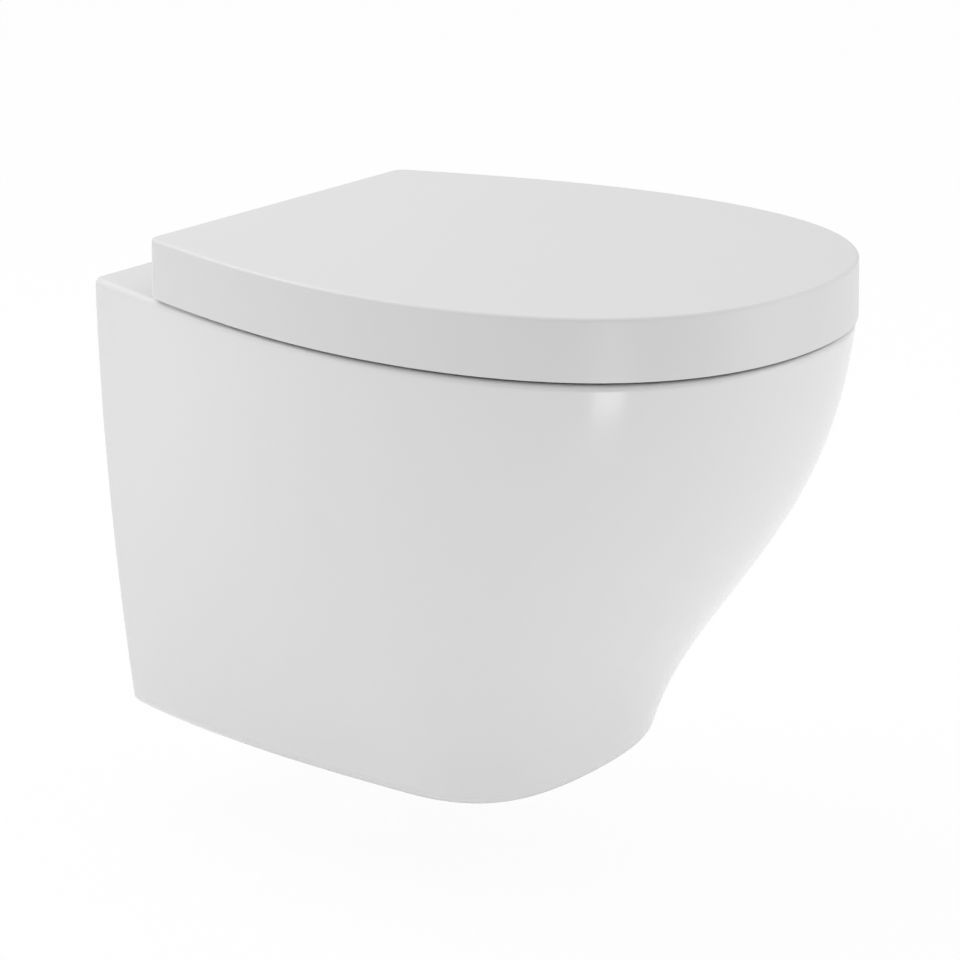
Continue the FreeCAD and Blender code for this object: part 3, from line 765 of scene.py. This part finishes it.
def lidEar(side):
    x0, x1 = sorted(side * x for x in lid["ear"])
    radius, out, z = hinge["barrel"], hinge["out"], hinge["z"]
    turns = [math.pi * i / lid["earSteps"] for i in range(lid["earSteps"] + 1)]
    under = [(out + radius * math.cos(a), z - radius * math.sin(a)) for a in turns]
    root = lid["inner"] + past
    ear = slab("lidEar", under + [(out - radius, root), (out + radius, root)], x0, x1)
    far = side * lid["ear"][1]
    pocket = sorted((far - side * hinge["damperLength"], far + side * past))
    carve(ear, list(hingeWays(x0, x1, pocket)))
    return ear


def bufferBosses():
    radius, edge = lid["bossRadius"], lid["bossEdge"]
    low, high = lid["inner"] - lid["bossHeight"], lid["inner"] + past
    return [turned("boss", [(radius - edge, low), (radius, low + edge), (radius, high)], "z", x, out, 0)
            for x, out in lid["buffers"]]


def buildLid():
    shell = lidSkin()
    rear, low, inner, lip = lid["rear"], lid["low"], lid["inner"], lid["lipHalf"]
    thick = rear + lid["skirt"] + past
    flare = planCurves(planAt(0), -lid["overhang"])[0]
    free = bezierPoint(flare, whereOut(flare, rear))[0] - lid["corner"]
    turn = lid["skirtCorner"]
    far = rear + turn
    turns = [math.pi / 2 * i / lid["swingSteps"] for i in range(lid["swingSteps"] + 1)]
    swing = [(far - turn * math.sin(a), low + turn - turn * math.cos(a)) for a in turns]
    swing += [(rear - past, low + turn), (rear - past, low - past), (far, low - past)]
    carve(shell, [block("gapLeft", -free, -lip, rear - past, thick, low - past, inner),
                  block("gapRight", lip, free, rear - past, thick, low - past, inner),
                  block("gapMiddle", -lip - past, lip + past, rear - past, thick, low - past,
                        lid["top"] - lid["lipHeight"]),
                  slab("swing", swing, -lid["swingReach"], lid["swingReach"])])
    whole = joined("lidCover", [shell, lidEar(-1), lidEar(1)] + bufferBosses())
    standIn(whole, "lid_shell", "lid")


buildLid()
print("lid built")


# the seat
seat = {
    "low": 85, "top": 106, "margin": 8, "rear": 97.5, "corner": 14, "edge": 7, "under": 2,
    "shoulderGap": 15, "slope": 0.65, "bend": 0.19, "settle": 0.48,
    "openRear": 170, "openHalf": 113, "openMargin": 58,
    "notch": (68.5, 87.5), "notchEnd": 117.5, "hub": (53.5, 68.5),
    "smallestCorner": 3, "edgeRows": 7, "underRows": 3,
    "armFoot": 2, "armRoot": 14, "armSkin": 1, "armAhead": 3, "armRise": 0.9,
}


def seatRing(z, inset):
    plan = planAt(0)
    wide, wideOut = plan["wide"] - seat["margin"] - inset, plan["wideOut"]
    front = planCurves(plan, seat["margin"] + inset)[1]
    lidFlare = planCurves(plan, -lid["overhang"])[0]
    lidX = bezierPoint(lidFlare, whereOut(lidFlare, lid["rear"]))[0]
    rearX = lidX - lid["skirt"] - seat["shoulderGap"] - inset
    rear = seat["rear"] + inset
    length = wideOut - rear
    bend = seat["bend"] * length
    flare = [(rearX, rear), (rearX + seat["slope"] * bend, rear + bend),
             (wide, rear + seat["settle"] * length), (wide, wideOut)]
    corner = max(seat["corner"] - inset, seat["smallestCorner"])
    return atLevel(outlineFrom(flare, front, rear, corner), z)


def seatMouth(z, grow):
    return atLevel(eggOutline(seat["openRear"] - grow, form["rim"]["reach"] - seat["openMargin"] + grow,
                              seat["openHalf"] + grow), z)


def seatSkin():
    low, top = seat["low"], seat["top"]
    over = quarterRound(seat["edge"], seat["edgeRows"])
    under = quarterRound(seat["under"], seat["underRows"])
    rings = [seatRing(low - rise, inset) for inset, rise in reversed(under)]
    rings += [seatRing(top + rise, inset) for inset, rise in over]
    rings += [seatMouth(top + rise, inset) for inset, rise in reversed(over)]
    rings += [seatMouth(low - rise, inset) for inset, rise in under]
    return skinRings("seatSkin", rings, looped=True)


def seatArm(side):
    x0, x1 = sorted(side * x for x in seat["hub"])
    out, z, radius, foot = hinge["out"], hinge["z"], hinge["barrel"], seat["armFoot"]
    arm = slab("seatArm", [(out, z - radius), (seat["rear"] + foot, seat["low"] + foot),
                           (seat["rear"] + seat["armRoot"], seat["top"] - seat["armSkin"]),
                           (out + seat["armAhead"], z + radius * seat["armRise"])], x0, x1)
    carve(arm, [turned("hub", [(radius, x0), (radius, x1)], "x", 0, out, z)], "UNION")
    near = side * seat["hub"][0]
    pocket = sorted((near - side * past, near + side * hinge["damperLength"]))
    carve(arm, list(hingeWays(x0, x1, pocket)))
    return arm


def buildSeat():
    ring = seatSkin()
    notches = []
    for side in (-1, 1):
        x0, x1 = sorted(side * x for x in seat["notch"])
        notches.append(block("notch", x0, x1, seat["rear"] - past, seat["notchEnd"],
                             seat["low"] - past, seat["top"] + past))
    carve(ring, notches)
    standIn(joined("seatCover", [ring, seatArm(-1), seatArm(1)]), "seat_ring", "seat")


buildSeat()
print("seat built")


# the threaded studs under the hinges
stud = {
    "radius": 4, "root": 3.35, "pitch": 1.25, "low": 42, "high": 89.8, "plain": 12,
    "sides": 20, "rowsPerTurn": 6,
    "fade": 1.2,              # the thread runs out over this length
}


def studRing(side, z, radiusAt):
    x, out, sides = side * pan["hingeX"], pan["hingeOut"], stud["sides"]
    ring = []
    for i in range(sides):
        turn, radius = 2 * math.pi * i / sides, radiusAt(i / sides)
        ring.append((x + radius * math.cos(turn), out + radius * math.sin(turn), z))
    return ring


# a helical V thread as one skin: the ring's radius follows the pitch along its turn
def threadedStud(side):
    low, pitch, depth = stud["low"], stud["pitch"], stud["radius"] - stud["root"]
    top = stud["high"] - stud["plain"]
    rows = int(round((top - low) / pitch * stud["rowsPerTurn"]))
    rings = [studRing(side, low, lambda part: stud["root"])]
    for row in range(1, rows + 1):
        z = low + (top - low) * row / rows
        share = max(min(1, (z - low) / stud["fade"], (top - z) / stud["fade"]), 0)
        rings.append(studRing(side, z, lambda part: stud["radius"]
                              - depth * (1 - abs(2 * ((z / pitch - part) % 1) - 1)) * share))
    rings.append(studRing(side, stud["high"], lambda part: stud["radius"]))
    return skinRings("threadedStud", rings)


for label, side in (("left", -1), ("right", 1)):
    standIn(threadedStud(side), "hinge_stud_" + label, "pan")
print("studs built")


# the inlet seal
seal = {
    "outside": 27.5, "bore": 22.5, "long": 24, "edge": 0.6, "mouth": 1.2,
    "grooves": 3, "grooveStart": 3, "grooveDepth": 1.2, "grooveSlope": 0.5,
    "grooveShare": 0.35, "endBand": 4,
    "lip": 1, "lipFromEnd": 6, "lipHalf": 3, "lipFlat": 0.6,
}


# rubber sleeve: two lips inside that grip the flush pipe, grooves round its outside
def inletSeal():
    outside, bore, end, edge = seal["outside"], seal["bore"], seal["long"], seal["edge"]
    mouth, slope, groove = bore + seal["mouth"], seal["grooveSlope"], outside - seal["grooveDepth"]
    profile = [(mouth, 0), (outside - edge, 0), (outside, edge)]
    span = (end - seal["endBand"]) / seal["grooves"]
    for i in range(seal["grooves"]):
        start = seal["grooveStart"] + span * i
        stop = start + span * seal["grooveShare"]
        profile += [(outside, start), (groove, start + slope), (groove, stop), (outside, stop + slope)]
    profile += [(outside, end - edge), (outside - edge, end), (mouth, end)]
    low, half, flat = bore + seal["lip"], seal["lipHalf"], seal["lipFlat"]
    for centre in (end - seal["lipFromEnd"], seal["lipFromEnd"]):
        profile += [(low, centre + half), (bore, centre + flat),
                    (bore, centre - flat), (low, centre - half)]
    return turned("inletSeal", profile, "out", 0, 0, form["deck"] - pan["inletDrop"],
                  looped=True, segments=steps["large"])


standIn(inletSeal(), "inlet_seal", "pan")
print("seal built")
